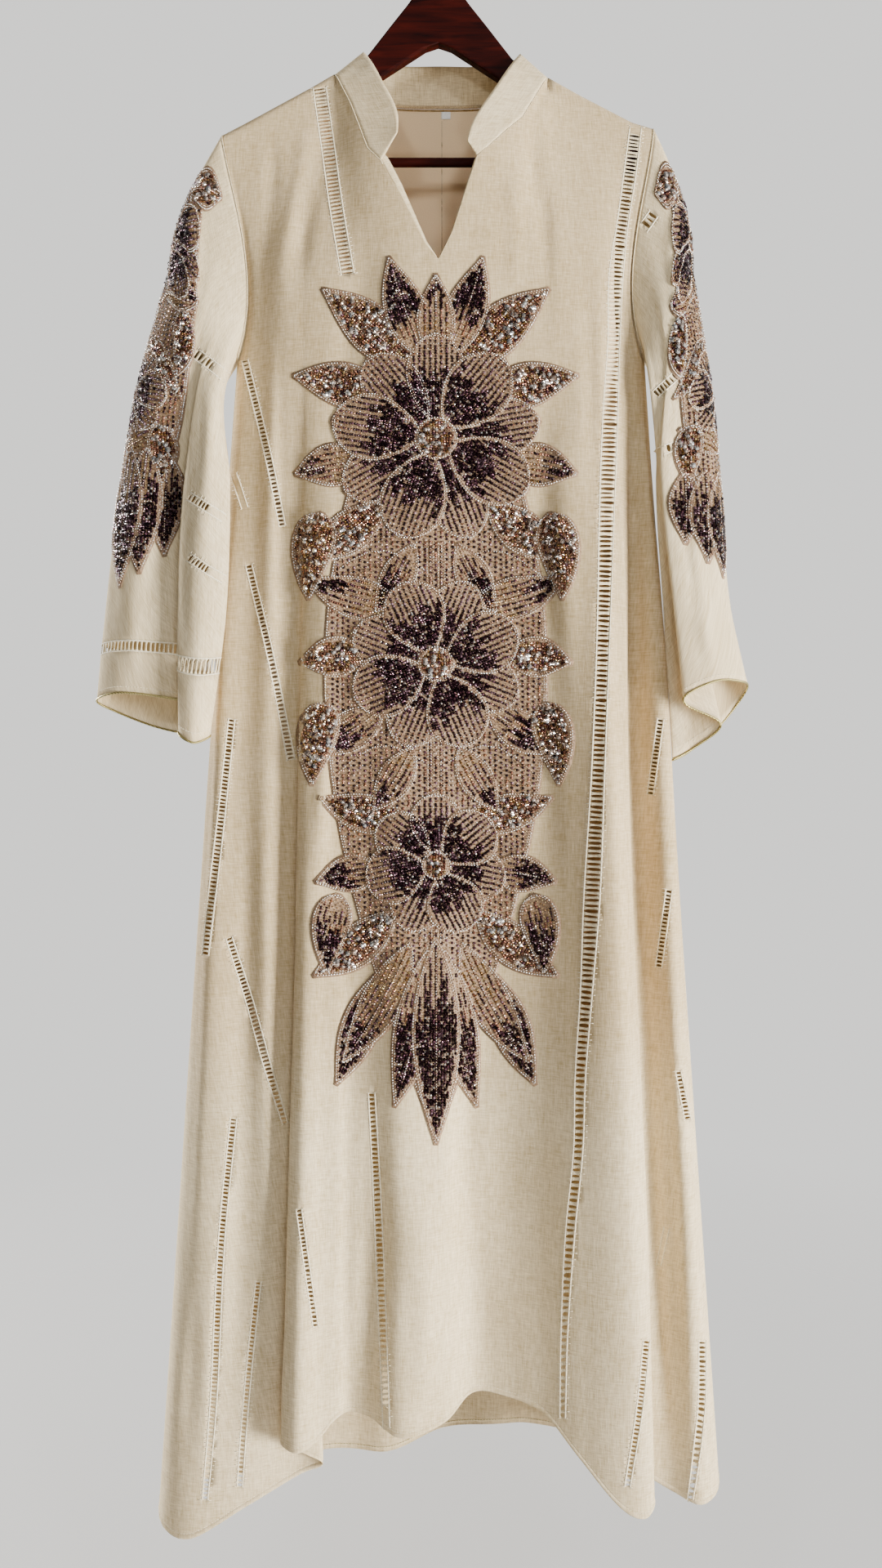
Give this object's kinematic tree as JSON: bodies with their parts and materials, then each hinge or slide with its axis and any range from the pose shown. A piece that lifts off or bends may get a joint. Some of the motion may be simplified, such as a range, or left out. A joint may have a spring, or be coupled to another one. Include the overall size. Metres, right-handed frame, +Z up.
{
  "type": "abaya on a hanger",
  "caption": "Long kaftan-style abaya in slub linen with a stand collar, open V notch, beaded front and long wide sleeves, hanging on a wooden hanger with a trouser bar.",
  "frame": {"origin": "the inner top of the hanger's hook, where a rail holds it", "axes": "+Z up, -Y towards the front of the garment, +X towards the wearer's left sleeve"},
  "size_m": [0.6958, 0.1133, 1.7125],
  "materials": {
    "linen": "matte",
    "lining": "matte",
    "label": "matte",
    "gold_cord": "satin",
    "wood": "satin",
    "steel": "polished"
  },
  "bodies": {
    "root": {"front": "linen", "back": "linen", "right_sleeve": "linen", "left_sleeve": "linen", "collar": "linen", "lining_front": "lining", "lining_back": "lining", "neck_label": "label", "right_cuff_piping": "gold_cord", "left_cuff_piping": "gold_cord", "hanger_arms": "wood", "hanger_bar": "wood", "hanger_hook": "steel"}
  },
  "joints": []
}
